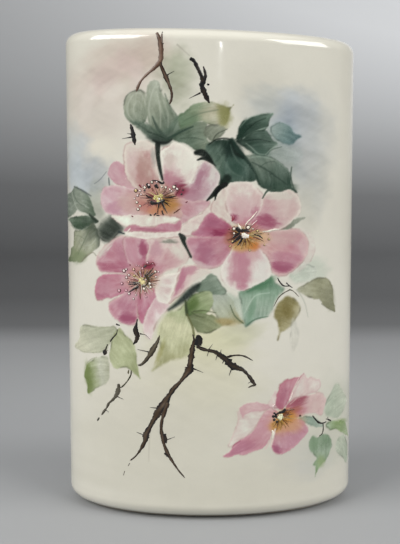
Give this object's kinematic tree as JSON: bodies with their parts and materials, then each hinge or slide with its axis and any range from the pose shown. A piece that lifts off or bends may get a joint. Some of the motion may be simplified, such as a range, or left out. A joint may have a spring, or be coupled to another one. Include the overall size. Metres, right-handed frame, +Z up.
{
  "type": "oval painted porcelain vase",
  "caption": "Tall oval porcelain vase, wide and shallow, with a wide oval mouth, a gently sloping rounded rim and wild roses, leaves and thorny twigs painted on the front.",
  "frame": {"origin": "middle of the foot ring's underside, on the table", "axes": "+Z up to the mouth; X across the wide faces; the painted face looks along -Y; the rim's lower end is at +X"},
  "size_m": [0.2008, 0.1118, 0.3248],
  "materials": {
    "porcelain": "fine white casting porcelain under the glaze",
    "bare_porcelain": "unglazed, ground flat, matt",
    "clear_glaze": "glossy warm white glaze",
    "rose_enamel": "fired overglaze enamel, soft pink, glossy",
    "leaf_enamel": "fired overglaze enamel, grey green, glossy",
    "twig_enamel": "fired overglaze enamel, brown black, glossy",
    "stamen_enamel": "fired overglaze enamel, ochre and brown, raised dots"
  },
  "bodies": {
    "root": {"vase_body": "porcelain", "foot_ring": "bare_porcelain", "glaze_coat": "clear_glaze", "rose_upper_left_petals": "rose_enamel", "rose_right_petals": "rose_enamel", "rose_lower_left_petals": "rose_enamel", "rose_lower_right_petals": "rose_enamel", "leaves_top_left": "leaf_enamel", "leaves_top_right": "leaf_enamel", "leaves_left": "leaf_enamel", "leaves_lower_left": "leaf_enamel", "leaves_centre": "leaf_enamel", "leaves_right": "leaf_enamel", "leaves_lower_right": "leaf_enamel", "twig_top_left": "twig_enamel", "twig_top_right": "twig_enamel", "twig_centre": "twig_enamel", "twig_right": "twig_enamel", "twig_lower_left": "twig_enamel", "rose_upper_left_stamens": "stamen_enamel", "rose_right_stamens": "stamen_enamel", "rose_lower_left_stamens": "stamen_enamel", "rose_lower_right_stamens": "stamen_enamel"}
  },
  "joints": []
}
